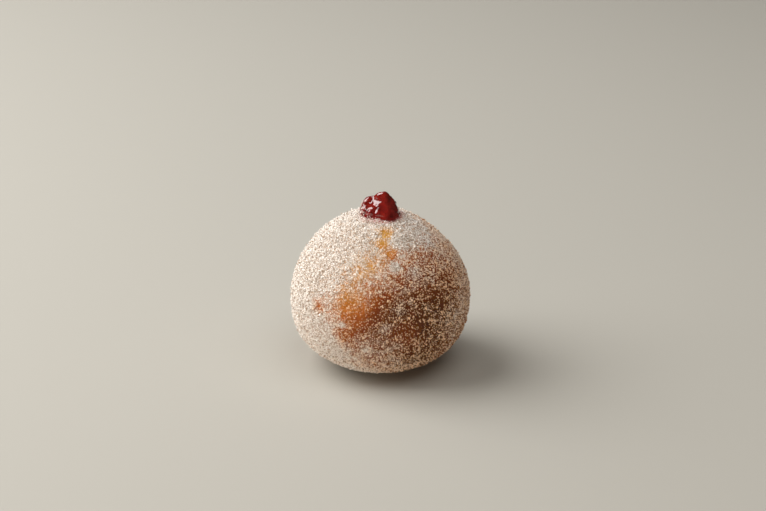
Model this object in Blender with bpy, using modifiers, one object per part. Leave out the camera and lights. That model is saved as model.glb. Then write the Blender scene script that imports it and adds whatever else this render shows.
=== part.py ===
"""Bombolone: a round fried dough bun rolled in sugar, with jam showing at the filling hole on its crown.

Metres, +Z up. The origin is the middle of the flat spot that the bun rests on.
The crust is a ball with its own crown and base profile, swollen unevenly as it rose and fried.
"""

import math
import random

import bmesh
import bpy
from mathutils import Matrix, Vector, noise

MM = 0.001

# Dough
DOUGH_RADIUS = 39.5 * MM
CROWN_HEIGHT = 39.8 * MM  # belly level up to the crown
BASE_HEIGHT = 31.0 * MM  # belly level down to the tip of the round base
CROWN_POWER = 1.88  # 2 would be an ellipse, less is more pointed
BASE_POWER = 2.45  # more than 2 is flatter, with a fuller lower flank
REST_TRIM = 0.25 * MM  # taken off the round base for the flat spot
BELLY_LEVEL = BASE_HEIGHT - REST_TRIM
BALL_SUBDIVISIONS = 5

# Uneven rise: where each swell or hollow is, in degrees, how far it spreads, in degrees, and its height
SWELLS = (
    ("fuller left shoulder", 145, 54, 22, 0.5 * MM),
    ("flatter right shoulder", 28, 48, 22, -0.6 * MM),
    ("fuller right flank", 7, 16, 20, 0.35 * MM),
    ("fuller left flank", 190, -22, 20, 0.35 * MM),
    ("flatter lower left", 205, -46, 18, -0.4 * MM),
)
WAVES = ((1.4, 0.35 * MM), (3.4, 0.18 * MM))  # waves around the ball, and their height
WAVES_START = Vector((3.1, 7.4, 1.9))
CALM_BASE_FROM = -0.72  # below this share of the way down, the base is even, as it rose on a flat tray
CALM_BASE_TO = -0.95

# Jam, each chunk's balls, by centre from the crown and radius in mm; the chunk is the hull around them
JAM_CHUNKS = (
    ("peak with its steep front", (
        (1.9, -1.4, 8.35, 1.8),
        (0.2, -1.2, 7.9, 1.7),
        (4.8, -1.0, 4.5, 1.9),
        (6.2, -1.6, 0.7, 2.2),
        (3.5, -6.4, 0.4, 2.3),
        (-1.0, -5.0, 0.6, 2.2),
        (-1.2, -0.6, 7.0, 1.6),
        (1.0, 4.4, 1.6, 2.6),
        (5.0, 3.0, 1.0, 2.4),
    )),
    ("left lobe", (
        (-5.9, -0.3, 4.9, 1.8),
        (-2.6, 0.2, 5.7, 1.8),
        (-6.8, -0.8, 1.4, 2.2),
        (-3.2, -3.0, 2.6, 1.7),
        (-4.4, 3.4, 1.2, 2.6),
    )),
    ("left bead", (
        (-6.5, -2.3, 1.5, 1.9),
        (-5.4, -1.6, 2.1, 1.8),
    )),
    ("front left bead", (
        (-4.3, -4.6, 1.1, 1.9),
        (-3.0, -4.6, 0.9, 1.8),
    )),
    ("skirt on the crust", (
        (-7.6, -1.6, -1.1, 1.5),
        (-5.4, -4.8, -1.1, 1.5),
        (-3.0, -5.7, -1.1, 1.5),
        (1.0, -6.7, -1.1, 1.5),
        (3.6, -7.7, -1.1, 1.5),
        (5.7, -6.9, -1.1, 1.5),
        (7.2, -4.2, -1.1, 1.5),
        (7.4, 0.5, -1.1, 1.5),
        (5.6, 5.2, -1.1, 1.5),
        (0.0, 7.3, -1.1, 1.5),
        (-5.2, 5.4, -1.1, 1.5),
        (-7.8, 1.8, -1.1, 1.5),
    )),
)
JAM_NECK_RADIUS = 4.4 * MM
JAM_NECK_DEPTH = 10.0 * MM
JAM_VOXEL = 1.15 * MM
JAM_RIPPLE = 0.28 * MM
JAM_RIPPLE_WAVES = 0.33 / MM
JAM_GAP = 0.3 * MM  # kept between the jam and the crust around it

# Coarse sugar crystals that stand out of the crust
CRYSTAL_COUNT = 176
CRYSTAL_SIZES = (0.9 * MM, 1.35 * MM)
CRYSTAL_SLIMMEST = 0.72
CRYSTAL_RAGGED = 0.09  # how far a corner strays, as a share of the size
CRYSTAL_SINK = 0.10  # how far its middle lies under the crust, as a share of the size
CRYSTAL_STRAY = 0.35  # how far it strays from the even spread, as a share of the spacing
CLEAR_OF_JAM = 11.6 * MM  # from the axis, near the crown
CLEAR_OF_TABLE = 1.5 * MM
SEED = 27
GOLDEN_ANGLE = math.pi * (3 - math.sqrt(5))


def linear(hex_colour):
    """The linear colour of an sRGB hex value."""
    channels = [int(hex_colour[i : i + 2], 16) / 255 for i in (0, 2, 4)]
    return [c / 12.92 if c <= 0.04045 else ((c + 0.055) / 1.055) ** 2.4 for c in channels]


def make_material(name, hex_colour, roughness):
    material = bpy.data.materials.new(name)
    material.use_nodes = True
    shader = material.node_tree.nodes["Principled BSDF"]
    shader.inputs["Base Color"].default_value = (*linear(hex_colour), 1)
    shader.inputs["Roughness"].default_value = roughness
    shader.inputs["Metallic"].default_value = 0
    return material


def make_collection(name):
    collection = bpy.data.collections.new(name)
    bpy.context.scene.collection.children.link(collection)
    return collection


def make_object(name, bm, collection, material=None):
    mesh = bpy.data.meshes.new(name)
    bm.to_mesh(mesh)
    bm.free()
    if material:
        mesh.materials.append(material)
    obj = bpy.data.objects.new(name, mesh)
    collection.objects.link(obj)
    return obj


def apply_modifiers(obj):
    """Makes the evaluated shape the object's own mesh."""
    graph = bpy.context.evaluated_depsgraph_get()
    shaped = bpy.data.meshes.new_from_object(obj.evaluated_get(graph))
    plain = obj.data
    obj.modifiers.clear()
    obj.data = shaped
    bpy.data.meshes.remove(plain)
    shaped.name = obj.name


def towards(azimuth, elevation):
    """The unit direction at two angles in degrees, the first counted from +X towards +Y."""
    around = math.radians(azimuth)
    up = math.radians(elevation)
    return Vector((math.cos(up) * math.cos(around), math.cos(up) * math.sin(around), math.sin(up)))


def profile_radius(direction):
    """How far the even ball's surface is from the belly's middle, along a unit direction."""
    height = CROWN_HEIGHT if direction.z > 0 else BASE_HEIGHT
    power = CROWN_POWER if direction.z > 0 else BASE_POWER
    across = math.hypot(direction.x, direction.y) / DOUGH_RADIUS
    upward = abs(direction.z) / height
    return (across**power + upward**power) ** (-1 / power)


def uneven_rise(direction):
    """How far the crust stands proud of the even ball."""
    rise = 0.0
    for _name, azimuth, elevation, spread, height in SWELLS:
        apart = direction.angle(towards(azimuth, elevation))
        rise += height * math.exp(-((apart / math.radians(spread)) ** 2))
    for waves, height in WAVES:
        rise += height * noise.noise(direction * waves + WAVES_START)
    calm = (direction.z - CALM_BASE_TO) / (CALM_BASE_FROM - CALM_BASE_TO)
    return rise * min(1.0, max(0.0, calm))


def crust_point(direction):
    """The point of the crust that lies along a unit direction from the belly's middle."""
    reach = profile_radius(direction) + uneven_rise(direction)
    return direction * reach + Vector((0, 0, BELLY_LEVEL))


def make_dough(collection, material):
    bm = bmesh.new()
    bmesh.ops.create_icosphere(bm, subdivisions=BALL_SUBDIVISIONS, radius=1)
    for vertex in bm.verts:
        vertex.co = crust_point(vertex.co.normalized())
    everything = bm.verts[:] + bm.edges[:] + bm.faces[:]
    cut = bmesh.ops.bisect_plane(
        bm, geom=everything, dist=1e-6, plane_co=(0, 0, 0), plane_no=(0, 0, -1), clear_outer=True
    )
    rim = [item for item in cut["geom_cut"] if isinstance(item, bmesh.types.BMEdge)]
    bmesh.ops.contextual_create(bm, geom=rim)
    bmesh.ops.recalc_face_normals(bm, faces=bm.faces[:])
    return make_object("dough", bm, collection, material)


def even_directions(count, dice):
    """Directions spread evenly over the ball by the golden angle, each straying a little."""
    spacing = math.sqrt(4 * math.pi / count)
    for index in range(count):
        level = 1 - 2 * (index + 0.5) / count
        across = math.sqrt(1 - level * level)
        around = index * GOLDEN_ANGLE
        even = Vector((across * math.cos(around), across * math.sin(around), level))
        stray = Vector([dice.uniform(-1, 1) * CRYSTAL_STRAY * spacing for _axis in range(3)])
        yield (even + stray).normalized()


def make_crystal(name, direction, dice, collection):
    """One block of sugar, turned at random, with its middle a little under the crust."""
    size = dice.uniform(*CRYSTAL_SIZES)
    turn = Matrix.Rotation(dice.uniform(0, math.tau), 4, towards(dice.uniform(0, 360), dice.uniform(-90, 90)))
    slim = [1.0, dice.uniform(CRYSTAL_SLIMMEST, 1), dice.uniform(CRYSTAL_SLIMMEST, 1)]
    bm = bmesh.new()
    bmesh.ops.create_cube(bm, size=size)
    for vertex in bm.verts:
        ragged = Vector([dice.uniform(-1, 1) * CRYSTAL_RAGGED * size for _axis in range(3)])
        vertex.co = Vector([a * b for a, b in zip(vertex.co, slim)]) + ragged
    bmesh.ops.triangulate(bm, faces=bm.faces[:])
    place = crust_point(direction) - direction * CRYSTAL_SINK * size
    bm.transform(Matrix.Translation(place) @ turn)
    return make_object(name, bm, collection)


def fuse_crystals(dough):
    """Joins the coarse crystals to the crust, clear of the jam and of the table."""
    dice = random.Random(SEED)
    loose = make_collection("loose crystals")
    for index, direction in enumerate(even_directions(CRYSTAL_COUNT, dice)):
        place = crust_point(direction)
        by_jam = direction.z > 0 and math.hypot(place.x, place.y) < CLEAR_OF_JAM
        if by_jam or place.z < CLEAR_OF_TABLE:
            continue
        make_crystal(f"crystal_{index:03d}", direction, dice, loose)
    union = dough.modifiers.new("fuse crystals", "BOOLEAN")
    union.operation = "UNION"
    union.solver = "EXACT"
    union.operand_type = "COLLECTION"
    union.collection = loose
    apply_modifiers(dough)
    for obj in loose.objects[:]:
        bpy.data.meshes.remove(obj.data)
    bpy.data.collections.remove(loose)


def add_hull(bm, crown, balls):
    """Adds the hull around balls to a mesh."""
    hull = bmesh.new()
    for x, y, z, radius in balls:
        place = Matrix.Translation(crown + Vector((x, y, z)) * MM)
        bmesh.ops.create_icosphere(hull, subdivisions=3, radius=radius * MM, matrix=place)
    bmesh.ops.delete(hull, geom=hull.faces[:] + hull.edges[:], context="EDGES_FACES")
    wrapped = bmesh.ops.convex_hull(hull, input=hull.verts[:])
    inside = [item for item in wrapped["geom_interior"] if isinstance(item, bmesh.types.BMVert)]
    bmesh.ops.delete(hull, geom=inside, context="VERTS")
    mesh = bpy.data.meshes.new("chunk")
    hull.to_mesh(mesh)
    hull.free()
    bm.from_mesh(mesh)
    bpy.data.meshes.remove(mesh)


def make_jam(collection, material):
    """Chunks of jam run together, with a neck that goes down the filling hole."""
    crown = Vector((0, 0, BELLY_LEVEL + CROWN_HEIGHT))
    bm = bmesh.new()
    for _name, balls in JAM_CHUNKS:
        add_hull(bm, crown, balls)
    bmesh.ops.create_cone(
        bm,
        cap_ends=True,
        segments=32,
        radius1=JAM_NECK_RADIUS,
        radius2=JAM_NECK_RADIUS,
        depth=JAM_NECK_DEPTH,
        matrix=Matrix.Translation(crown - Vector((0, 0, JAM_NECK_DEPTH / 2))),
    )
    jam = make_object("jam", bm, collection, material)
    remesh = jam.modifiers.new("run together", "REMESH")
    remesh.mode = "VOXEL"
    remesh.voxel_size = JAM_VOXEL
    smooth = jam.modifiers.new("soften", "SMOOTH")
    smooth.factor = 0.5
    smooth.iterations = 2
    apply_modifiers(jam)
    normals = [vertex.normal.copy() for vertex in jam.data.vertices]
    for vertex, normal in zip(jam.data.vertices, normals):
        vertex.co += normal * JAM_RIPPLE * noise.noise(vertex.co * JAM_RIPPLE_WAVES)
    jam.data.shade_smooth()
    return jam


def cut_socket(dough, jam, collection):
    """Cuts the filling hole and the jam's seat from the dough, a small gap wider than the jam."""
    cutter = bpy.data.objects.new("jam_seat_cutter", jam.data.copy())
    collection.objects.link(cutter)
    cutter.hide_render = True
    cutter.display_type = "WIRE"
    widen = cutter.modifiers.new("widen", "DISPLACE")
    widen.strength = JAM_GAP
    widen.mid_level = 0
    cut = dough.modifiers.new("jam seat", "BOOLEAN")
    cut.operation = "DIFFERENCE"
    cut.solver = "EXACT"
    cut.object = cutter


def main():
    for obj in bpy.data.objects[:]:
        bpy.data.objects.remove(obj)
    parts = make_collection("bombolone")
    cutters = make_collection("cutters")
    dough = make_dough(parts, make_material("sugared crust", "C09A78", 0.75))
    fuse_crystals(dough)
    jam = make_jam(parts, make_material("jam", "7A1A18", 0.15))
    cut_socket(dough, jam, cutters)


main()
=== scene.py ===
"""A sugared bombolone with jam at its crown: crust, granulated sugar, jam and a plain stage."""

import math
import random

import bmesh
import bpy
import numpy as np
from bpy.props import FloatProperty, FloatVectorProperty, IntProperty, PointerProperty
from mathutils import Euler, Matrix, Vector, noise


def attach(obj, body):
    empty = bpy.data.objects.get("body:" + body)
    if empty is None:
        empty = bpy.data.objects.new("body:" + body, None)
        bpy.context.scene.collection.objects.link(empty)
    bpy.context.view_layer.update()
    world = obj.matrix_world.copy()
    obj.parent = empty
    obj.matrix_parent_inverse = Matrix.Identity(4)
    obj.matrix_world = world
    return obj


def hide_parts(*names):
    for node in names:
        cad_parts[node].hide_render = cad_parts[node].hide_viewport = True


bl_info = {
    "name": "Sugared Bombolone",
    "version": (1, 0, 0),
    "blender": (4, 5, 0),
    "location": "View3D > Sidebar > Bombolone",
    "description": "Fried crust, granulated sugar, a mound of jam and a plain stage",
    "category": "Object",
}

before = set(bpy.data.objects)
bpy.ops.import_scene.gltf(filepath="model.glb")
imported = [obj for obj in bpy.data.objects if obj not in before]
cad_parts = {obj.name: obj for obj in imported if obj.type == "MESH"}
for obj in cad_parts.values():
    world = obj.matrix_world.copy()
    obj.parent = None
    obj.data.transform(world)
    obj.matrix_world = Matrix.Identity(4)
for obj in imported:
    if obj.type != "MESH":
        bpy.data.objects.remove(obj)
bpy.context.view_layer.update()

MM = 0.001
BODY = "root"

# The even ball, as its solid has it
DOUGH_RADIUS = 39.5 * MM
CROWN_HEIGHT = 39.8 * MM
BASE_HEIGHT = 31.0 * MM
CROWN_POWER = 1.88
BASE_POWER = 2.45
REST_TRIM = 0.25 * MM
BELLY_LEVEL = BASE_HEIGHT - REST_TRIM
CROWN = Vector((0, 0, BELLY_LEVEL + CROWN_HEIGHT))

# Where the crust swells or falls in: azimuth, elevation and spread in degrees, then height
SWELLS = (
    (145, 54, 22, 0.5 * MM),
    (28, 48, 22, -0.6 * MM),
    (7, 16, 20, 0.35 * MM),
    (190, -22, 20, 0.35 * MM),
    (205, -46, 18, -0.4 * MM),
)
WAVES = ((1.4, 0.35 * MM), (3.4, 0.18 * MM))
WAVES_START = Vector((3.1, 7.4, 1.9))
CALM_BASE_FROM = -0.72
CALM_BASE_TO = -0.95

# Fine relief of the fried crust: waves around the ball, and their height
CRUST_RELIEF = ((9, 0.10 * MM), (24, 0.06 * MM), (60, 0.035 * MM))
CRUST_INSET = 0.05 * MM
HOLE_RADIUS = 7.0 * MM
HOLE_DEPTH = 3.0 * MM
HOLE_STEEPNESS = 3  # it is at its full depth a third of the way in

# Sugar cover, where 1 hides the crust: azimuth, elevation and spread in degrees, then how much it adds
COVER_BASE = 0.50
COVER_LIMITS = (0.04, 1.35)
CLUMPED_LIMITS = (0.02, 1.6)  # the same, with the clumps and the patchiness
COVER_PARTS = (
    (-170, 20, 55, 0.72),  # the whole left side
    (-135, 55, 36, 0.30),  # upper left
    (-105, 38, 16, -0.27),  # golden, thinly sugared
    (0, 90, 25, 0.24),  # round the jam
    (-150, -20, 28, 0.05),  # lower left
    (-90, -48, 28, 0.10),  # under the front
    (-122, -54, 22, 0.34),  # the rim near the table, at the left
    (-68, -46, 20, -0.12),  # the rim near the table, at the right
    (-2, 0, 24, 0.04),  # the right edge
    (-28, 36, 18, -0.16),  # the right shoulder
    (-40, 60, 16, 0.42),  # right of the jam
    (-108, 50, 24, 0.04),  # below the jam
    (-87, 24, 12, 0.11),  # the middle
    (-64, 18, 20, -0.08),  # right of the middle
    (-122, -17, 14, 0.28),  # low at the left
    (-62, -20, 14, -0.22),  # low at the right, in the shade
    (110, 25, 60, 0.22),  # the back
)
COVER_BARE = (
    (-114, 15, 10, -0.46),  # orange patch left of the middle
    (-103, 6, 9, -0.44),  # its foot, browner
    (-113, -6, 7.5, -0.56),  # second orange patch
    (-135, 10, 6, -0.42),  # small spot at the left
    (-86, 22, 6, -0.32),  # brown at the middle
    (-89, 12, 9, -0.34),  # speckled brown below it
    (-63, 1, 8, -0.36),  # dark patch right of the middle
    (-74, -2, 7, -0.30),  # brown patch low down
    (-47, 15, 7, -0.36),  # dark patch to the right
    (-59, 18, 5, -0.22),  # beside it
    (-34, 22, 8, -0.28),  # reddish spot further right
    (-56, 46, 9, -0.26),  # golden spot, upper right
    (-79, 66, 4.5, -1.0),  # golden spot below the jam
    (-87, 57, 4, -0.62),  # its tail
    (-80, 49, 3.5, -0.62),  # small orange spot
    (60, -5, 12, -0.45),  # back right, where it lay in the pan
    (150, 30, 9, -0.40),  # back left
    (100, 45, 8, -0.35),  # back, high
)
COVER_CLUMPS = (
    (-66, 59, 5, 0.75),
    (-77, 40, 2.5, 1.0),
    (-114, 1, 2.5, 0.7),
    (-87, 1, 3, 0.4),
    (-62, 35, 4, 0.35),
    (-100, -14, 4, 0.25),
)
# Where sparse grains are white all the same: added to the cover for their tone
GRAINS_WHITER = (
    (-26, 45, 32, 1.0),  # the right shoulder
    (-145, -18, 30, 0.36),  # lower left
    (-112, -46, 30, 0.45),  # under the front
    (-62, -24, 18, 0.30),  # low at the right
    (-114, 41, 22, 0.26),  # the golden part, upper left
)
COVER_PATCHY = ((3.5, 0.10), (11, 0.16), (28, 0.22))  # waves around the ball, and their share

# How brown the crust is fried, 0 golden and 1 dark brown, in spots as above; at the right side and low at the
# right it is browner partly from frying and partly as painted shade
BROWN_BASE = 0.50
BROWNING_AND_SHADE_SPOTS = (
    (-118, 14, 18, -0.22),  # orange, left of the middle
    (-106, 41, 21, -0.36),  # golden, upper left
    (0, 90, 42, -0.35),  # pale round the jam
    (-80, 63, 8, -0.30),  # golden spot below the jam
    (-84, 5, 22, 0.20),  # the middle
    # Browner here partly from frying, partly as painted shade on the shaded right side
    (-50, 5, 34, 0.34),  # the right side
    (-74, -4, 10, -0.20),  # a lighter place low down
    # Browner here partly from frying, partly as painted shade low at the right
    (-65, -36, 20, 0.30),  # low at the right
    (-102, 14, 9, -0.14),  # between the orange patch and the middle
    (60, 0, 50, 0.15),  # back right
)

# Jam chunks, as the solid has them: each is the hull around balls, by centre from the crown and radius in mm
JAM_CHUNKS = (
    ("peak with its steep front", (
        (1.9, -1.4, 8.35, 1.8),
        (0.2, -1.2, 7.9, 1.7),
        (4.8, -1.0, 4.5, 1.9),
        (6.2, -1.6, 0.7, 2.2),
        (3.5, -6.4, 0.4, 2.3),
        (-1.0, -5.0, 0.6, 2.2),
        (-1.2, -0.6, 7.0, 1.6),
        (1.0, 4.4, 1.6, 2.6),
        (5.0, 3.0, 1.0, 2.4),
    )),
    ("left lobe", (
        (-5.9, -0.3, 4.9, 1.8),
        (-2.6, 0.2, 5.7, 1.8),
        (-6.8, -0.8, 1.4, 2.2),
        (-3.2, -3.0, 2.6, 1.7),
        (-4.4, 3.4, 1.2, 2.6),
    )),
    ("left bead", (
        (-6.5, -2.3, 1.5, 1.9),
        (-5.4, -1.6, 2.1, 1.8),
    )),
    ("front left bead", (
        (-4.3, -4.6, 1.1, 1.9),
        (-3.0, -4.6, 0.9, 1.8),
    )),
    ("skirt on the crust", (
        (-7.6, -1.6, -1.1, 1.5),
        (-5.4, -4.8, -1.1, 1.5),
        (-3.0, -5.7, -1.1, 1.5),
        (1.0, -6.7, -1.1, 1.5),
        (3.6, -7.7, -1.1, 1.5),
        (5.7, -6.9, -1.1, 1.5),
        (7.2, -4.2, -1.1, 1.5),
        (7.4, 0.5, -1.1, 1.5),
        (5.6, 5.2, -1.1, 1.5),
        (0.0, 7.3, -1.1, 1.5),
        (-5.2, 5.4, -1.1, 1.5),
        (-7.8, 1.8, -1.1, 1.5),
    )),
)
JAM_SOFTENING = 0.5  # how far the lumps are smoothed each time
JAM_SOFTENINGS = 26
JAM_RIPPLES = ((0.33, 0.28 * MM),)  # waves to a millimetre, and height
JAM_WRINKLES = ((0.5, 0.32 * MM), (1.1, 0.06 * MM))  # the same, at the left and towards the back
WRINKLED_FROM = 2.5 * MM  # from where to where they grow towards the left
WRINKLED_FULLY = -2.5 * MM
WRINKLED_BEHIND = (-2.5 * MM, 1.5 * MM)  # and towards the back
WRINKLES_BEHIND = 2.6  # how much deeper they get there

# Sugar grains stuck to the left side of the jam
STUCK_COUNT = 80
STUCK_FROM = -5.5 * MM
STUCK_FADE = 2.5 * MM
STUCK_HEIGHT = 5.5 * MM  # none sits higher above the crown
STUCK_SPREAD = 0.2  # of the size
STUCK_LIFT_MM = 0.1
STUCK_TONES = (0.3, 1)
STUCK_STAINS = (0, 0.5)

# Each kind of grain: name, shape, share of all grains, size against the usual grain, and spread of the size
GRAIN_KINDS = (
    ("sugar_blocks", "block", 0.15, 1.1, 0.18),
    ("sugar_wedges", "wedge", 0.22, 1.05, 0.2),
    ("sugar_points", "point", 0.23, 1.0, 0.2),
    ("sugar_fine_wedges", "wedge", 0.22, 0.78, 0.15),
    ("sugar_fine_points", "point", 0.18, 0.78, 0.15),
)
GRAIN_NARROWEST = 0.8  # against its length
GRAIN_FLATTEST = 0.7
GRAIN_RAGGED = 0.08
GRAIN_STRAY = 0.6  # how far a grain strays from its even place, in spacings
GRAINS_FROM = 0.2 * MM  # none lies lower on the crust
GRAIN_CLEARANCE = 0.02 * MM  # kept above the table
CELL_CORNERS = ((0.15, 0.15), (0.85, 0.15), (0.5, 0.85))  # a grain's face in the grain's cell of the map

# How the grains lie, with heights counted in grains
SPARSEST = 0.31  # grains for each place where the cover is 0
LYING_HEIGHTS = (0.05, 0.4)
LAYER_HEIGHTS = (0.4, 1.0)  # what each layer below adds
LAYER_SLIP = 0.4  # how far each layer slips aside
PROUD_SHARE = 0.11  # of the grains, those that stand on others
PROUD_HEIGHTS = (0.2, 1.0)  # how much higher they stand

# The finest grains
FINEST = 0.5  # their size against the usual grain
FINEST_SPREAD = 0.2
FINEST_LIFT_MM = 0.05

# How the grains look, by the cover round them
CLEAR_TO_WHITE = {"From Min": 0.24, "From Max": 0.46}  # tones from the clearest grain to the whitest
GLAZE = 0.15  # how much the crust is lightened where it is seen through a clear grain
WHITE_FROM = 0.95  # the cover from which the grains are as white as they get
CLEAR_WHERE_THIN = 0.95  # how much clearer the grains are for each unit of cover less
WHITE_AT_LEAST = 0.6  # the share of grains that are whiter anyway, for each unit of cover
WHITE_WHERE_BARE = 0.35  # the cover that bare crust counts as in that share
WHITE_UP_TO = 0.5  # and the cover that thick sugar counts as
WHITE_TONES = (0.42, 0.9)  # the tones of the whiter grains
BEDDED_FROM = 0.4  # the cover from which grains lie on other grains, and where all of them do
BEDDED_FULLY = 1.0
WHITER_BEDDED = 0.2  # how far whiter grains look as if they lay on others

# Where the jam's juice wets the sugar
STAIN_REACH = 11.8 * MM  # from the axis
STAIN_FADE = 2.4 * MM
STAIN_AZIMUTH = -50  # the side where it ran most
STAIN_ALL_ROUND = 0.4
STAIN_ON_ITS_SIDE = 0.6

# Coarse crystals, at the same places and by the same draws as on the solid
CRYSTAL_COUNT = 176
CRYSTAL_SIZES = (0.9 * MM, 1.35 * MM)
CRYSTAL_SLIMMEST = 0.72
CRYSTAL_RAGGED = 0.09
CRYSTAL_SINK = 0.10
CRYSTAL_STRAY = 0.35
CRYSTAL_SEED = 27
CLEAR_OF_JAM = 11.6 * MM
CLEAR_OF_TABLE = 1.5 * MM

GOLDEN_ANGLE = math.pi * (3 - math.sqrt(5))

# The photograph's frame and lens
PHOTO_SIZE = (766, 511)
BUN_PIXEL = (380.1, 294.4)  # where the middle of the belly falls in the photograph
SENSOR_WIDTH = 36.0

# The light panels, each placed by azimuth and elevation, and the floor, all in metres
PANEL_DISTANCE = 1.4
WINDOW_SIZE = (1.2, 1.2)
GLOW_PLACE = (math.radians(162), math.radians(24))
GLOW_SIZE = (2.2, 1.3)
CEILING_PLACE = (math.radians(-40), math.radians(70))
CEILING_SIZE = (1.2, 1.2)
FILL_PLACE = (math.radians(-104), math.radians(6))
FILL_SIZE = (2.6, 0.35)
FLOOR_SIZE = 4


def linear(hex_colour):
    """The linear colour of an sRGB hex value."""
    channels = [int(hex_colour[i : i + 2], 16) / 255 for i in (0, 2, 4)]
    return [c / 12.92 if c <= 0.04045 else ((c + 0.055) / 1.055) ** 2.4 for c in channels] + [1]


def colour(name, description, hex_colour):
    """A colour property that starts from an sRGB hex value."""
    return FloatVectorProperty(name=name, description=description, subtype="COLOR", size=3, min=0, max=1,
                               default=linear(hex_colour)[:3])


class BomboloneCrust(bpy.types.PropertyGroup):
    """Fineness and colours of the fried crust"""

    fineness: IntProperty(name="Fineness", description="Subdivisions of the crust's ball", default=7, min=4,
                          max=7)
    golden: colour("Golden", "Crust that is hardly browned", "DFAC50")
    amber: colour("Amber", "Crust a little browned", "C67029")
    chestnut: colour("Chestnut", "Well browned crust", "903E12")
    dark: colour("Dark", "The most browned crust", "451F0B")
    dust: colour("Dust", "Film of sugar dust on the crust", "E6D3BE")


class BomboloneSugar(bpy.types.PropertyGroup):
    """How much sugar clings to the crust, its grain and its colours"""

    spots: IntProperty(name="Spots", description="Places over the whole ball where a grain may lie",
                       default=110000, min=1000)
    dust: IntProperty(name="Dust", description="How many of the finest grains cling all over", default=10000,
                      min=100)
    grain: FloatProperty(name="Grain", description="Usual size of a grain", default=0.51 * MM, min=0.1 * MM,
                         unit="LENGTH", subtype="DISTANCE")
    seed: IntProperty(name="Seed", description="Start of the random draws", default=27)
    white: colour("White", "White grains that lie on sugar", "FBF3EA")
    warm: colour("Warm white", "White grains that lie on bare crust and are lit by it", "F8D2AA")
    # Painted shade: clear grains that lie on sugar take the colour of the sugar below them in shadow
    clear: colour("Clear", "Clear grains that lie on sugar", "C3AD98")
    glaze: colour("Glaze", "What a clear grain adds to the crust under it", "E8A860")
    juice: colour("Juice", "Grains wet with jam", "B53E3C")


class BomboloneJam(bpy.types.PropertyGroup):
    """Fineness and colours of the jam"""

    voxel: FloatProperty(name="Voxel", description="Fineness of the jam's surface", default=0.3 * MM,
                         min=0.1 * MM, unit="LENGTH", subtype="DISTANCE")
    deep: colour("Deep", "Jam where little pulp is", "5C100E")
    body: colour("Body", "Jam for the most part", "761512")
    pulp: colour("Pulp", "Jam where most pulp is", "96241C")


class BomboloneStage(bpy.types.PropertyGroup):
    """Camera, light and floor"""

    elevation: FloatProperty(name="Camera elevation", description="How far the camera stands above the belly",
                             default=math.radians(23), subtype="ANGLE")
    distance: FloatProperty(name="Camera distance", description="Lens to the middle of the bun",
                            default=0.956, unit="LENGTH", subtype="DISTANCE")
    lens: FloatProperty(name="Lens", description="Focal length in millimetres", default=100.0)
    window_azimuth: FloatProperty(name="Window azimuth", description="Where the window light comes from",
                                  default=math.radians(168), subtype="ANGLE")
    window_elevation: FloatProperty(name="Window elevation", description="How high the window stands",
                                    default=math.radians(47), subtype="ANGLE")
    window_watts: FloatProperty(name="Window power", description="Power of the window light", default=20.5)
    glow_watts: FloatProperty(name="Glow power", description="Power of the wide glow round the window",
                              default=16.0)
    ceiling_watts: FloatProperty(name="Ceiling power", description="Power of the weak light from the ceiling",
                                 default=7.2)
    fill_watts: FloatProperty(name="Fill power", description="Power of the weak light from the front",
                              default=10.5)
    room: FloatProperty(name="Room", description="Strength of the light from all around", default=0.045)
    fill_colour: colour("Fill colour", "Light that the front panel gives", "FAE9D8")
    room_colour: colour("Room colour", "Light from all around", "F3DCC0")
    floor: colour("Floor", "Plain worktop", "B7B3A9")


def add_node(material, kind, links=None, **settings):
    """Adds a node with its settings, input values by their names, and links as {input: (node, output)}."""
    tree = material.node_tree
    node = tree.nodes.new(kind)
    for name, value in settings.items():
        if name == "values":
            for socket, number in value.items():
                node.inputs[socket].default_value = number
        else:
            setattr(node, name, value)
    for socket, (source, output) in (links or {}).items():
        tree.links.new(source.outputs[output], node.inputs[socket])
    return node


def new_material(name):
    """A new material and its shader."""
    material = bpy.data.materials.new(name)
    material.use_nodes = True
    return material, material.node_tree.nodes["Principled BSDF"]


def opaque(rgb):
    """The colour of a property as a socket or a ramp takes it."""
    return (*rgb, 1)


def set_ramp(node, stops):
    """Sets a colour ramp from (place, colour) stops."""
    ramp = node.color_ramp
    while len(ramp.elements) < len(stops):
        ramp.elements.new(0.5)
    for element, (place, rgb) in zip(ramp.elements, stops):
        element.position = place
        element.color = opaque(rgb)


def set_fried_ramp(node):
    """Sets a ramp to the fried crust from golden to dark."""
    crust = bpy.context.scene.bombolone_crust
    set_ramp(node, ((0.0, crust.golden), (0.3, crust.amber), (0.55, crust.chestnut), (0.9, crust.dark)))


def towards(azimuth, elevation):
    """The unit direction at two angles in degrees, the first counted from +X towards +Y."""
    around = math.radians(azimuth)
    up = math.radians(elevation)
    return Vector((math.cos(up) * math.cos(around), math.cos(up) * math.sin(around), math.sin(up)))


def spots_at(directions, spots):
    """The sum of soft round spots at each direction."""
    total = np.zeros(len(directions))
    for azimuth, elevation, spread, amount in spots:
        apart = np.arccos(np.clip(directions @ np.array(towards(azimuth, elevation)), -1, 1))
        total += amount * np.exp(-((apart / math.radians(spread)) ** 2))
    return total


def waves_at(points, waves, start=WAVES_START):
    """The sum of noise waves at each point."""
    total = np.zeros(len(points))
    for frequency, amount in waves:
        total += amount * np.array([noise.noise(Vector(p) * frequency + start) for p in points])
    return total


def profile_radius(directions):
    """How far the even ball's surface is from the belly's middle, along unit directions."""
    upper = directions[:, 2] > 0
    height = np.where(upper, CROWN_HEIGHT, BASE_HEIGHT)
    power = np.where(upper, CROWN_POWER, BASE_POWER)
    across = np.hypot(directions[:, 0], directions[:, 1]) / DOUGH_RADIUS
    upward = np.abs(directions[:, 2]) / height
    return (across**power + upward**power) ** (-1 / power)


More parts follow.
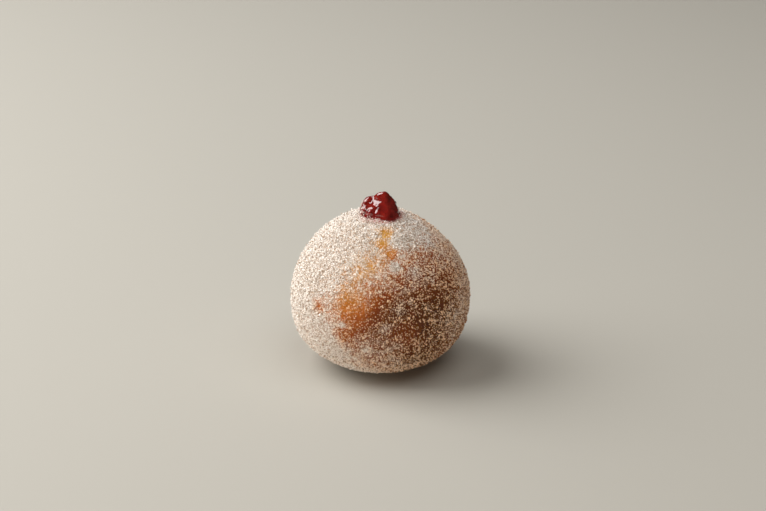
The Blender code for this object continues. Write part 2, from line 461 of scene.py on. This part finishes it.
def crust_points(directions):
    """The points of the crust that lie along unit directions from the belly's middle."""
    rise = spots_at(directions, SWELLS) + waves_at(directions, WAVES)
    calm = (directions[:, 2] - CALM_BASE_TO) / (CALM_BASE_FROM - CALM_BASE_TO)
    reach = profile_radius(directions) + rise * np.clip(calm, 0, 1)
    return directions * reach[:, None] + np.array((0, 0, BELLY_LEVEL))


def sugar_cover(directions):
    """How much sugar lies on the crust, where 1 hides it."""
    cover = COVER_BASE + spots_at(directions, COVER_PARTS) + spots_at(directions, COVER_BARE)
    cover = np.clip(cover, *COVER_LIMITS) + spots_at(directions, COVER_CLUMPS)
    return np.clip(cover + waves_at(directions, COVER_PATCHY), *CLUMPED_LIMITS)


def crust_browning_and_shade(directions):
    """How brown the crust is fried, from 0 for golden to 1 for dark brown, with some painted shade at the
    right.
    """
    return BROWN_BASE + spots_at(directions, BROWNING_AND_SHADE_SPOTS)


def even_directions(count):
    """Unit directions spread evenly over the ball by the golden angle."""
    index = np.arange(count)
    level = 1 - 2 * (index + 0.5) / count
    across = np.sqrt(1 - level * level)
    around = index * GOLDEN_ANGLE
    return np.stack([across * np.cos(around), across * np.sin(around), level], 1)


def unit(vectors):
    """The vectors, each made one long."""
    return vectors / np.linalg.norm(vectors, axis=1)[:, None]


def finish_piece(name, mesh, material, node):
    """Puts a finished mesh in the scene as a piece that stands for a node."""
    obj = bpy.data.objects.new(name, mesh)
    bpy.context.scene.collection.objects.link(obj)
    mesh.materials.append(material)
    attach(obj, BODY)
    if node:
        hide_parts(node)
    return obj


def fried_crust_material():
    """Egg-rich dough fried in oil: a thin leathery skin from golden to deep brown, with a faint oily sheen
    where it is bare, and a film of the finest sugar dust between the grains."""
    material, shader = new_material("fried dough crust")
    place = add_node(material, "ShaderNodeTexCoord")
    browning_and_shade = add_node(material, "ShaderNodeAttribute", attribute_name="browning_and_shade")
    dusting = add_node(material, "ShaderNodeAttribute", attribute_name="dusting")
    # Blotches of 4 mm, as the surface colours unevenly in the pan, up to a quarter more or less brown
    blotches = add_node(material, "ShaderNodeTexNoise", {"Vector": (place, "Object")},
                        values={"Scale": 1 / (4 * MM), "Detail": 4.0, "Roughness": 0.6})
    uneven = add_node(material, "ShaderNodeMath", {0: (blotches, "Fac")}, operation="MULTIPLY_ADD",
                      values={1: 0.5, 2: -0.25})
    brown = add_node(material, "ShaderNodeMath", {0: (browning_and_shade, "Fac"), 1: (uneven, "Value")},
                     operation="ADD")
    fried = add_node(material, "ShaderNodeValToRGB", {"Fac": (brown, "Value")})
    set_fried_ramp(fried)
    # Dust of 0.35 mm specks, thicker where more sugar lies
    specks = add_node(material, "ShaderNodeTexNoise", {"Vector": (place, "Object")},
                      values={"Scale": 1 / (0.35 * MM), "Detail": 2.0, "Roughness": 0.7})
    film = add_node(material, "ShaderNodeMath", {0: (dusting, "Fac"), 1: (specks, "Fac")}, operation="ADD")
    shown = add_node(material, "ShaderNodeMapRange", {"Value": (film, "Value")},
                     values={"From Min": 1.1, "From Max": 1.7, "To Min": 0.0, "To Max": 0.8})
    dusted = add_node(material, "ShaderNodeMix", {"Factor": (shown, "Result"), "A": (fried, "Color")},
                      data_type="RGBA")
    dusted.inputs["B"].default_value = opaque(bpy.context.scene.bombolone_crust.dust)
    material.node_tree.links.new(dusted.outputs["Result"], shader.inputs["Base Color"])
    rough = add_node(material, "ShaderNodeMapRange", {"Value": (shown, "Result")},
                     values={"To Min": 0.42, "To Max": 0.85})
    material.node_tree.links.new(rough.outputs["Result"], shader.inputs["Roughness"])
    bump = add_node(material, "ShaderNodeBump", {"Height": (specks, "Fac")},
                    values={"Strength": 0.5, "Distance": 0.15 * MM})
    material.node_tree.links.new(bump.outputs["Normal"], shader.inputs["Normal"])
    shader.inputs["IOR"].default_value = 1.38
    return material


def sugar_material():
    """Granulated sugar: clear refined crystals whose many faces scatter light white with small hard glints.
    The clearer ones take the colour of what lies under them, crust or more sugar, the sugar with painted
    shade between the grains, and those by the jam are wet with it."""
    sugar = bpy.context.scene.bombolone_sugar
    material, shader = new_material("granulated sugar")
    tone = add_node(material, "ShaderNodeAttribute", attribute_name="tone")
    browning_and_shade = add_node(material, "ShaderNodeAttribute", attribute_name="browning_and_shade")
    stain = add_node(material, "ShaderNodeAttribute", attribute_name="stain")
    bedded = add_node(material, "ShaderNodeAttribute", attribute_name="bedded")
    fried = add_node(material, "ShaderNodeValToRGB", {"Fac": (browning_and_shade, "Fac")})
    set_fried_ramp(fried)
    glazed = add_node(material, "ShaderNodeMix", {"A": (fried, "Color")}, data_type="RGBA",
                      values={"Factor": GLAZE})
    glazed.inputs["B"].default_value = opaque(sugar.glaze)
    # Through a clear grain shows the glazed crust or, where it lies on sugar, the painted shade of the sugar
    # below
    under = add_node(material, "ShaderNodeMix", {"Factor": (bedded, "Fac"), "A": (glazed, "Result")},
                     data_type="RGBA")
    under.inputs["B"].default_value = opaque(sugar.clear)
    white = add_node(material, "ShaderNodeMapRange", {"Value": (tone, "Fac")}, values=CLEAR_TO_WHITE)
    # White grains on bare crust are lit by it from below, warmer than white grains on sugar
    whitest = add_node(material, "ShaderNodeMix", {"Factor": (bedded, "Fac")}, data_type="RGBA")
    whitest.inputs["A"].default_value = opaque(sugar.warm)
    whitest.inputs["B"].default_value = opaque(sugar.white)
    dry = add_node(material, "ShaderNodeMix",
                   {"Factor": (white, "Result"), "A": (under, "Result"), "B": (whitest, "Result")},
                   data_type="RGBA")
    wet = add_node(material, "ShaderNodeMix", {"Factor": (stain, "Fac"), "A": (dry, "Result")},
                   data_type="RGBA")
    wet.inputs["B"].default_value = opaque(sugar.juice)
    material.node_tree.links.new(wet.outputs["Result"], shader.inputs["Base Color"])
    shader.inputs["Roughness"].default_value = 0.16
    shader.inputs["IOR"].default_value = 1.54
    return material


def jam_material():
    """Set red fruit jam: a wet, translucent gel, bright red where light comes through and nearly black-red in
    its depths, with a mirror-like skin."""
    material, shader = new_material("set red fruit jam")
    place = add_node(material, "ShaderNodeTexCoord")
    pulp = add_node(material, "ShaderNodeTexNoise", {"Vector": (place, "Object")},
                    values={"Scale": 1 / (2.5 * MM), "Detail": 3.0, "Roughness": 0.6})
    red = add_node(material, "ShaderNodeValToRGB", {"Fac": (pulp, "Fac")})
    jam = bpy.context.scene.bombolone_jam
    set_ramp(red, ((0.3, jam.deep), (0.5, jam.body), (0.75, jam.pulp)))
    material.node_tree.links.new(red.outputs["Color"], shader.inputs["Base Color"])
    fine = add_node(material, "ShaderNodeTexNoise", {"Vector": (place, "Object")},
                    values={"Scale": 1 / (0.8 * MM), "Detail": 2.0})
    bump = add_node(material, "ShaderNodeBump", {"Height": (fine, "Fac")},
                    values={"Strength": 0.08, "Distance": 0.2 * MM})
    material.node_tree.links.new(bump.outputs["Normal"], shader.inputs["Normal"])
    shader.inputs["Roughness"].default_value = 0.1
    shader.inputs["IOR"].default_value = 1.5
    shader.inputs["Subsurface Weight"].default_value = 0.35
    shader.inputs["Subsurface Radius"].default_value = (1.0, 0.15, 0.1)
    shader.inputs["Subsurface Scale"].default_value = 2.0 * MM
    shader.inputs["Coat Weight"].default_value = 1.0
    shader.inputs["Coat Roughness"].default_value = 0.04
    shader.inputs["Coat IOR"].default_value = 1.8
    return material


def grain_shapes():
    """The shapes a sugar crystal breaks into, about a unit across: block, wedge and pointed block."""
    shapes = {}
    bm = bmesh.new()
    bmesh.ops.create_cube(bm, size=1)
    shapes["block"] = bm
    bm = bmesh.new()
    bmesh.ops.create_cone(bm, cap_ends=True, segments=3, radius1=0.62, radius2=0.56, depth=0.9)
    shapes["wedge"] = bm
    bm = bmesh.new()
    bmesh.ops.create_uvsphere(bm, u_segments=4, v_segments=2, radius=0.66)
    shapes["point"] = bm
    found = {}
    for name, bm in shapes.items():
        bmesh.ops.triangulate(bm, faces=bm.faces[:])
        bmesh.ops.recalc_face_normals(bm, faces=bm.faces[:])
        corners = np.array([v.co[:] for v in bm.verts])
        faces = np.array([[v.index for v in f.verts] for f in bm.faces])
        found[name] = (corners, faces)
        bm.free()
    return found


def random_turns(dice, count):
    """Random rotation matrices, from random unit quaternions."""
    q = unit(dice.normal(size=(count, 4)))
    w, x, y, z = q.T
    rows = (
        (1 - 2 * (y * y + z * z), 2 * (x * y - z * w), 2 * (x * z + y * w)),
        (2 * (x * y + z * w), 1 - 2 * (x * x + z * z), 2 * (y * z - x * w)),
        (2 * (x * z - y * w), 2 * (y * z + x * w), 1 - 2 * (x * x + y * y)),
    )
    return np.moveaxis(np.array(rows), 2, 0)


def scattered_corners(corners, places, sizes, dice):
    """The corners of a shape repeated at each place, turned at random, a little slim and ragged."""
    count = len(places)
    narrow = dice.uniform(GRAIN_NARROWEST, 1, count)
    flat = dice.uniform(GRAIN_FLATTEST, 1, count)
    slim = np.stack([np.ones(count), narrow, flat], 1)
    ragged = dice.uniform(-GRAIN_RAGGED, GRAIN_RAGGED, (count, *corners.shape))
    local = (corners[None] + ragged) * slim[:, None] * sizes[:, None, None]
    return np.einsum("nij,nkj->nki", random_turns(dice, count), local) + places[:, None]


def grains_mesh(name, faces, points, looks):
    """One mesh of many grains from their corners, each with its own looks and its own cell of the map."""
    count, corners, _axes = points.shape
    lowest = points[:, :, 2].min(axis=1)
    points[:, :, 2] += np.maximum(0, GRAIN_CLEARANCE - lowest)[:, None]
    index = faces[None] + (np.arange(count) * corners)[:, None, None]
    mesh = bpy.data.meshes.new(name)
    mesh.vertices.add(count * corners)
    mesh.vertices.foreach_set("co", points.astype(np.float32).ravel())
    mesh.loops.add(index.size)
    mesh.loops.foreach_set("vertex_index", index.astype(np.int32).ravel())
    mesh.polygons.add(count * len(faces))
    mesh.polygons.foreach_set("loop_start", np.arange(0, index.size, 3, dtype=np.int32))
    mesh.update(calc_edges=True)
    for attribute, values in looks.items():
        layer = mesh.attributes.new(attribute, "FLOAT", "POINT")
        layer.data.foreach_set("value", np.repeat(values, corners).astype(np.float32))
    side = math.ceil(math.sqrt(count))
    cell = np.stack([np.arange(count) % side, np.arange(count) // side], 1) / side
    in_cell = np.array(CELL_CORNERS) / side
    uv = cell[:, None, None] + np.broadcast_to(in_cell, (count, len(faces), 3, 2))
    layer = mesh.uv_layers.new(name="OFBake")
    layer.uv.foreach_set("vector", uv.astype(np.float32).ravel())
    mesh.validate()
    return mesh


def grain_looks(directions, cover, stains, dice):
    """How each grain looks: tone from clear to white, and what it lies on and is stained by."""
    count = len(directions)
    whiter = spots_at(directions, GRAINS_WHITER)
    lacking = np.clip(WHITE_FROM - cover - whiter, 0, 1)
    tones = dice.uniform(0, 1, count) - CLEAR_WHERE_THIN * lacking
    share = WHITE_AT_LEAST * np.clip(cover + WHITE_WHERE_BARE, 0, WHITE_UP_TO)
    whitest = dice.uniform(0, 1, count) < share
    tones[whitest] = dice.uniform(*WHITE_TONES, int(whitest.sum()))
    bedded = (cover + WHITER_BEDDED * whiter - BEDDED_FROM) / (BEDDED_FULLY - BEDDED_FROM)
    return {
        "tone": np.clip(tones, 0, 1),
        "browning_and_shade": crust_browning_and_shade(directions),
        "bedded": np.clip(bedded, 0, 1),
        "stain": stains + np.zeros(count),
    }


def coarse_crystals():
    """The corners and faces of the crystals that the solid has, drawn by the same rule."""
    dice = random.Random(CRYSTAL_SEED)
    spacing = math.sqrt(4 * math.pi / CRYSTAL_COUNT)
    found = []
    for even in even_directions(CRYSTAL_COUNT):
        stray = Vector([dice.uniform(-1, 1) * CRYSTAL_STRAY * spacing for _axis in range(3)])
        direction = (Vector(even) + stray).normalized()
        place = Vector(crust_points(np.array([direction]))[0])
        by_jam = direction.z > 0 and math.hypot(place.x, place.y) < CLEAR_OF_JAM
        if by_jam or place.z < CLEAR_OF_TABLE:
            continue
        size = dice.uniform(*CRYSTAL_SIZES)
        angle = dice.uniform(0, math.tau)
        axis = towards(dice.uniform(0, 360), dice.uniform(-90, 90))
        turn = Matrix.Rotation(angle, 4, axis)
        slim = [1.0, dice.uniform(CRYSTAL_SLIMMEST, 1), dice.uniform(CRYSTAL_SLIMMEST, 1)]
        bm = bmesh.new()
        bmesh.ops.create_cube(bm, size=size)
        for vertex in bm.verts:
            ragged = Vector([dice.uniform(-1, 1) * CRYSTAL_RAGGED * size for _axis in range(3)])
            vertex.co = Vector([a * b for a, b in zip(vertex.co, slim)]) + ragged
        bmesh.ops.triangulate(bm, faces=bm.faces[:])
        bm.transform(Matrix.Translation(place - direction * CRYSTAL_SINK * size) @ turn)
        found.append([vertex.co[:] for vertex in bm.verts])
        faces = [[vertex.index for vertex in face.verts] for face in bm.faces]
        bm.free()
    return np.array(found), np.array(faces)


def add_hull(bm, balls):
    """Adds the hull around balls to a mesh."""
    hull = bmesh.new()
    for x, y, z, radius in balls:
        place = Matrix.Translation(CROWN + Vector((x, y, z)) * MM)
        bmesh.ops.create_icosphere(hull, subdivisions=3, radius=radius * MM, matrix=place)
    bmesh.ops.delete(hull, geom=hull.faces[:] + hull.edges[:], context="EDGES_FACES")
    wrapped = bmesh.ops.convex_hull(hull, input=hull.verts[:])
    inside = [item for item in wrapped["geom_interior"] if isinstance(item, bmesh.types.BMVert)]
    bmesh.ops.delete(hull, geom=inside, context="VERTS")
    mesh = bpy.data.meshes.new("chunk")
    hull.to_mesh(mesh)
    hull.free()
    bm.from_mesh(mesh)
    bpy.data.meshes.remove(mesh)


class BOMBOLONE_OT_crust(bpy.types.Operator):
    """Make the fried crust: an uneven ball with a flat spot to rest on and a well for the jam"""

    bl_idname = "bombolone.crust"
    bl_label = "Fried crust"

    def execute(self, context):
        sizes = context.scene.bombolone_crust
        bm = bmesh.new()
        bmesh.ops.create_icosphere(bm, subdivisions=sizes.fineness, radius=1)
        directions = unit(np.array([v.co[:] for v in bm.verts]))
        points = crust_points(directions)
        relief = waves_at(directions, CRUST_RELIEF) - CRUST_INSET
        across = np.hypot(points[:, 0], points[:, 1])
        well = np.clip(1 - across / HOLE_RADIUS, 0, 1) * (directions[:, 2] > 0)
        points += directions * relief[:, None]
        points[:, 2] -= HOLE_DEPTH * np.minimum(1, HOLE_STEEPNESS * well)
        cover = sugar_cover(directions)
        brown = crust_browning_and_shade(directions)
        for vertex, point in zip(bm.verts, points):
            vertex.co = point
        layers = bm.verts.layers.float
        browning_and_shade = layers.new("browning_and_shade")
        dusting = layers.new("dusting")
        for vertex, much, dust in zip(bm.verts, brown, cover):
            vertex[browning_and_shade] = much
            vertex[dusting] = dust
        everything = bm.verts[:] + bm.edges[:] + bm.faces[:]
        cut = bmesh.ops.bisect_plane(bm, geom=everything, dist=1e-7, plane_co=(0, 0, 0), plane_no=(0, 0, -1),
                                     clear_outer=True)
        rim = [item for item in cut["geom_cut"] if isinstance(item, bmesh.types.BMEdge)]
        bmesh.ops.contextual_create(bm, geom=rim)
        bmesh.ops.recalc_face_normals(bm, faces=bm.faces[:])
        mesh = bpy.data.meshes.new("fried_crust")
        bm.to_mesh(mesh)
        bm.free()
        mesh.shade_smooth()
        finish_piece("fried_crust", mesh, fried_crust_material(), "dough")
        return {"FINISHED"}


class BOMBOLONE_OT_sugar(bpy.types.Operator):
    """Scatter granulated sugar over the crust, thick at the left and thin over the browned patches"""

    bl_idname = "bombolone.sugar"
    bl_label = "Granulated sugar"

    def execute(self, context):
        sugar = context.scene.bombolone_sugar
        dice = np.random.default_rng(sugar.seed)
        spacing = math.sqrt(4 * math.pi / sugar.spots)
        even = even_directions(sugar.spots)
        directions = unit(even + dice.uniform(-GRAIN_STRAY, GRAIN_STRAY, even.shape) * spacing)
        cover = sugar_cover(directions)
        present = SPARSEST + (1 - SPARSEST) * cover
        layers = np.floor(present + dice.uniform(0, 1, len(cover))).astype(int)
        points = crust_points(directions)
        across = np.hypot(points[:, 0], points[:, 1])
        layers[(directions[:, 2] > 0) & (across < HOLE_RADIUS)] = 0
        layers[points[:, 2] < GRAINS_FROM] = 0
        chosen = np.repeat(np.arange(len(layers)), layers)
        count = len(chosen)
        layer = np.concatenate([np.arange(n) for n in layers if n])
        kinds = dice.choice(len(GRAIN_KINDS), count, p=[kind[2] for kind in GRAIN_KINDS])
        height = dice.uniform(*LYING_HEIGHTS, count) + layer * dice.uniform(*LAYER_HEIGHTS, count)
        proud = dice.uniform(0, 1, count) < PROUD_SHARE
        height += proud * dice.uniform(*PROUD_HEIGHTS, count)
        sideways = dice.uniform(-LAYER_SLIP, LAYER_SLIP, (count, 3)) * layer[:, None]
        outwards = directions[chosen] * (height * sugar.grain)[:, None]
        lifted = points[chosen] + outwards + sideways * sugar.grain
        wet = np.clip((STAIN_REACH - across[chosen]) / STAIN_FADE, 0, 1) * (directions[chosen, 2] > 0)
        most_wet = np.array(towards(STAIN_AZIMUTH, 0))[:2]
        side = STAIN_ON_ITS_SIDE * unit(points[chosen][:, :2]) @ most_wet
        stains = wet * (STAIN_ALL_ROUND + side) * dice.uniform(0, 1, count)
        looks = grain_looks(directions[chosen], cover[chosen], stains, dice)
        shapes = grain_shapes()
        material = sugar_material()
        for number, (name, shape, _share, size, spread) in enumerate(GRAIN_KINDS):
            mine = kinds == number
            corners, faces = shapes[shape]
            sizes = sugar.grain * size * np.exp(dice.normal(0, spread, int(mine.sum())))
            grains = scattered_corners(corners, lifted[mine], sizes, dice)
            own_looks = {key: values[mine] for key, values in looks.items()}
            mesh = grains_mesh(name, faces, grains, own_looks)
            finish_piece(name, mesh, material, None)
        self.dust(sugar, dice, shapes["point"], material)
        crystals, faces = coarse_crystals()
        middles = unit(crystals.mean(axis=1) - np.array((0, 0, BELLY_LEVEL)))
        looks = grain_looks(middles, sugar_cover(middles), 0, dice)
        mesh = grains_mesh("sugar_crystals", faces, crystals, looks)
        finish_piece("sugar_crystals", mesh, material, None)
        return {"FINISHED"}

    def dust(self, sugar, dice, shape, material):
        """Spreads the finest grains, which cling where hardly any others do."""
        even = even_directions(sugar.dust)
        spacing = math.sqrt(4 * math.pi / sugar.dust)
        directions = unit(even + dice.uniform(-GRAIN_STRAY, GRAIN_STRAY, even.shape) * spacing)
        points = crust_points(directions)
        across = np.hypot(points[:, 0], points[:, 1])
        clear = (directions[:, 2] > 0) & (across < HOLE_RADIUS) | (points[:, 2] < GRAINS_FROM)
        directions = directions[~clear]
        corners, faces = shape
        sizes = sugar.grain * FINEST * np.exp(dice.normal(0, FINEST_SPREAD, len(directions)))
        places = points[~clear] + directions * FINEST_LIFT_MM * MM
        grains = scattered_corners(corners, places, sizes, dice)
        looks = grain_looks(directions, sugar_cover(directions), 0, dice)
        mesh = grains_mesh("sugar_dust", faces, grains, looks)
        finish_piece("sugar_dust", mesh, material, None)


class BOMBOLONE_OT_jam(bpy.types.Operator):
    """Spoon the jam: lumps run together over the filling hole"""

    bl_idname = "bombolone.jam"
    bl_label = "Jam mound"

    def execute(self, context):
        bm = bmesh.new()
        for _name, balls in JAM_CHUNKS:
            add_hull(bm, balls)
        mesh = bpy.data.meshes.new("jam_mound")
        bm.to_mesh(mesh)
        bm.free()
        helper = bpy.data.objects.new("jam_helper", mesh)
        context.scene.collection.objects.link(helper)
        remesh = helper.modifiers.new("run together", "REMESH")
        remesh.mode = "VOXEL"
        remesh.voxel_size = context.scene.bombolone_jam.voxel
        smooth = helper.modifiers.new("soften", "SMOOTH")
        smooth.factor = JAM_SOFTENING
        smooth.iterations = JAM_SOFTENINGS
        graph = context.evaluated_depsgraph_get()
        shaped = bpy.data.meshes.new_from_object(helper.evaluated_get(graph))
        bpy.data.objects.remove(helper)
        bpy.data.meshes.remove(mesh)
        shaped.name = "jam_mound"
        points = np.array([v.co[:] for v in shaped.vertices])
        normals = np.array([v.normal[:] for v in shaped.vertices])
        ripples = [(waves / MM, height) for waves, height in JAM_RIPPLES]
        wrinkles = [(waves / MM, height) for waves, height in JAM_WRINKLES]
        left = np.clip((points[:, 0] - WRINKLED_FROM) / (WRINKLED_FULLY - WRINKLED_FROM), 0, 1)
        behind = np.interp(points[:, 1], WRINKLED_BEHIND, (0, WRINKLES_BEHIND))
        lift = waves_at(points, ripples, Vector((0, 0, 0)))
        lift += np.maximum(left, behind) * waves_at(points, wrinkles)
        points += normals * lift[:, None]
        shaped.vertices.foreach_set("co", points.astype(np.float32).ravel())
        shaped.shade_smooth()
        finish_piece("jam_mound", shaped, jam_material(), "jam")
        self.stick_sugar(context.scene.bombolone_sugar, points, normals)
        return {"FINISHED"}

    def stick_sugar(self, sugar, points, normals):
        """Sticks sugar grains to the left side of the wet jam."""
        dice = np.random.default_rng(sugar.seed + 1)
        height = points[:, 2] - CROWN.z
        in_reach = (height > 0) & (height < STUCK_HEIGHT)
        chance = np.clip((STUCK_FROM - points[:, 0]) / STUCK_FADE, 0, 1) * in_reach
        picked = dice.choice(len(points), STUCK_COUNT, replace=False, p=chance / chance.sum())
        corners, faces = grain_shapes()["point"]
        sizes = sugar.grain * np.exp(dice.normal(0, STUCK_SPREAD, STUCK_COUNT))
        places = points[picked] + normals[picked] * STUCK_LIFT_MM * MM
        grains = scattered_corners(corners, places, sizes, dice)
        looks = {
            "tone": dice.uniform(*STUCK_TONES, STUCK_COUNT),
            "browning_and_shade": np.zeros(STUCK_COUNT),
            "bedded": np.ones(STUCK_COUNT),
            "stain": dice.uniform(*STUCK_STAINS, STUCK_COUNT),
        }
        mesh = grains_mesh("sugar_on_jam", faces, grains, looks)
        material = bpy.data.materials.get("granulated sugar") or sugar_material()
        finish_piece("sugar_on_jam", mesh, material, None)


class BOMBOLONE_OT_stage(bpy.types.Operator):
    """Set the plain floor, the window light from the left and the camera"""

    bl_idname = "bombolone.stage"
    bl_label = "Plain stage"

    def execute(self, context):
        stage = context.scene.bombolone_stage
        self.lay_floor(context, stage)
        self.hang_lights(context, stage)
        self.set_camera(context, stage)
        context.scene.view_settings.view_transform = "Standard"
        return {"FINISHED"}

    def lay_floor(self, context, stage):
        """Lays the plain worktop under the bun."""
        bm = bmesh.new()
        bmesh.ops.create_grid(bm, x_segments=1, y_segments=1, size=FLOOR_SIZE)
        mesh = bpy.data.meshes.new("floor")
        bm.to_mesh(mesh)
        bm.free()
        material, shader = new_material("smooth pale worktop")
        shader.inputs["Base Color"].default_value = opaque(stage.floor)
        shader.inputs["Roughness"].default_value = 0.8
        mesh.materials.append(material)
        floor = bpy.data.objects.new("floor", mesh)
        context.scene.collection.objects.link(floor)

    def hang_lights(self, context, stage):
        """Hangs the window with its wide glow, a weak ceiling and a low front panel, and lights the room."""
        window = self.hang_panel(context, "window", stage.window_azimuth, stage.window_elevation, WINDOW_SIZE)
        window.data.energy = stage.window_watts
        glow = self.hang_panel(context, "glow", *GLOW_PLACE, GLOW_SIZE)
        glow.data.energy = stage.glow_watts
        ceiling = self.hang_panel(context, "ceiling", *CEILING_PLACE, CEILING_SIZE)
        ceiling.data.energy = stage.ceiling_watts
        fill = self.hang_panel(context, "fill", *FILL_PLACE, FILL_SIZE)
        fill.data.energy = stage.fill_watts
        fill.data.color = stage.fill_colour
        # Only the window is mirrored in the jam
        for panel in (glow, ceiling, fill):
            panel.visible_glossy = False
        world = bpy.data.worlds.new("soft room")
        world.use_nodes = True
        back = world.node_tree.nodes["Background"]
        back.inputs["Color"].default_value = opaque(stage.room_colour)
        back.inputs["Strength"].default_value = stage.room
        context.scene.world = world

    def hang_panel(self, context, name, azimuth, elevation, sizes):
        """Hangs a soft light panel that faces the bun."""
        direction = towards(math.degrees(azimuth), math.degrees(elevation))
        light = bpy.data.lights.new(name, "AREA")
        light.shape = "RECTANGLE"
        light.size, light.size_y = sizes
        lamp = bpy.data.objects.new(name, light)
        lamp.location = Vector((0, 0, BELLY_LEVEL)) + direction * PANEL_DISTANCE
        lamp.rotation_euler = direction.to_track_quat("Z", "Y").to_euler()
        context.scene.collection.objects.link(lamp)
        return lamp

    def set_camera(self, context, stage):
        """Sets the camera at the photograph's angle, turned so that the bun falls where it does there."""
        focal = stage.lens / SENSOR_WIDTH * PHOTO_SIZE[0]
        aside = math.atan((BUN_PIXEL[0] - PHOTO_SIZE[0] / 2) / focal)
        below = math.atan((BUN_PIXEL[1] - PHOTO_SIZE[1] / 2) / focal)
        camera = bpy.data.cameras.new("camera")
        camera.lens = stage.lens
        camera.sensor_width = SENSOR_WIDTH
        holder = bpy.data.objects.new("camera", camera)
        back = Vector((0, -math.cos(stage.elevation), math.sin(stage.elevation)))
        holder.location = Vector((0, 0, BELLY_LEVEL)) + back * stage.distance
        holder.rotation_euler = Euler((math.pi / 2 - stage.elevation + below, 0, aside))
        context.scene.collection.objects.link(holder)
        context.scene.camera = holder


class BOMBOLONE_PT_panel(bpy.types.Panel):
    """The steps of the bombolone, in order"""

    bl_label = "Bombolone"
    bl_idname = "BOMBOLONE_PT_panel"
    bl_space_type = "VIEW_3D"
    bl_region_type = "UI"
    bl_category = "Bombolone"

    def draw(self, context):
        for operator in OPERATORS:
            self.layout.operator(operator.bl_idname)


GROUPS = {
    "bombolone_crust": BomboloneCrust,
    "bombolone_sugar": BomboloneSugar,
    "bombolone_jam": BomboloneJam,
    "bombolone_stage": BomboloneStage,
}
OPERATORS = (BOMBOLONE_OT_crust, BOMBOLONE_OT_sugar, BOMBOLONE_OT_jam, BOMBOLONE_OT_stage)


def register():
    for group in GROUPS.values():
        bpy.utils.register_class(group)
    for name, group in GROUPS.items():
        setattr(bpy.types.Scene, name, PointerProperty(type=group))
    for operator in OPERATORS:
        bpy.utils.register_class(operator)
    bpy.utils.register_class(BOMBOLONE_PT_panel)


def unregister():
    bpy.utils.unregister_class(BOMBOLONE_PT_panel)
    for operator in reversed(OPERATORS):
        bpy.utils.unregister_class(operator)
    for name, group in GROUPS.items():
        delattr(bpy.types.Scene, name)
        bpy.utils.unregister_class(group)


def main():
    register()
    bpy.ops.bombolone.crust()
    bpy.ops.bombolone.sugar()
    bpy.ops.bombolone.jam()
    bpy.ops.bombolone.stage()


if __name__ == "__main__":
    main()
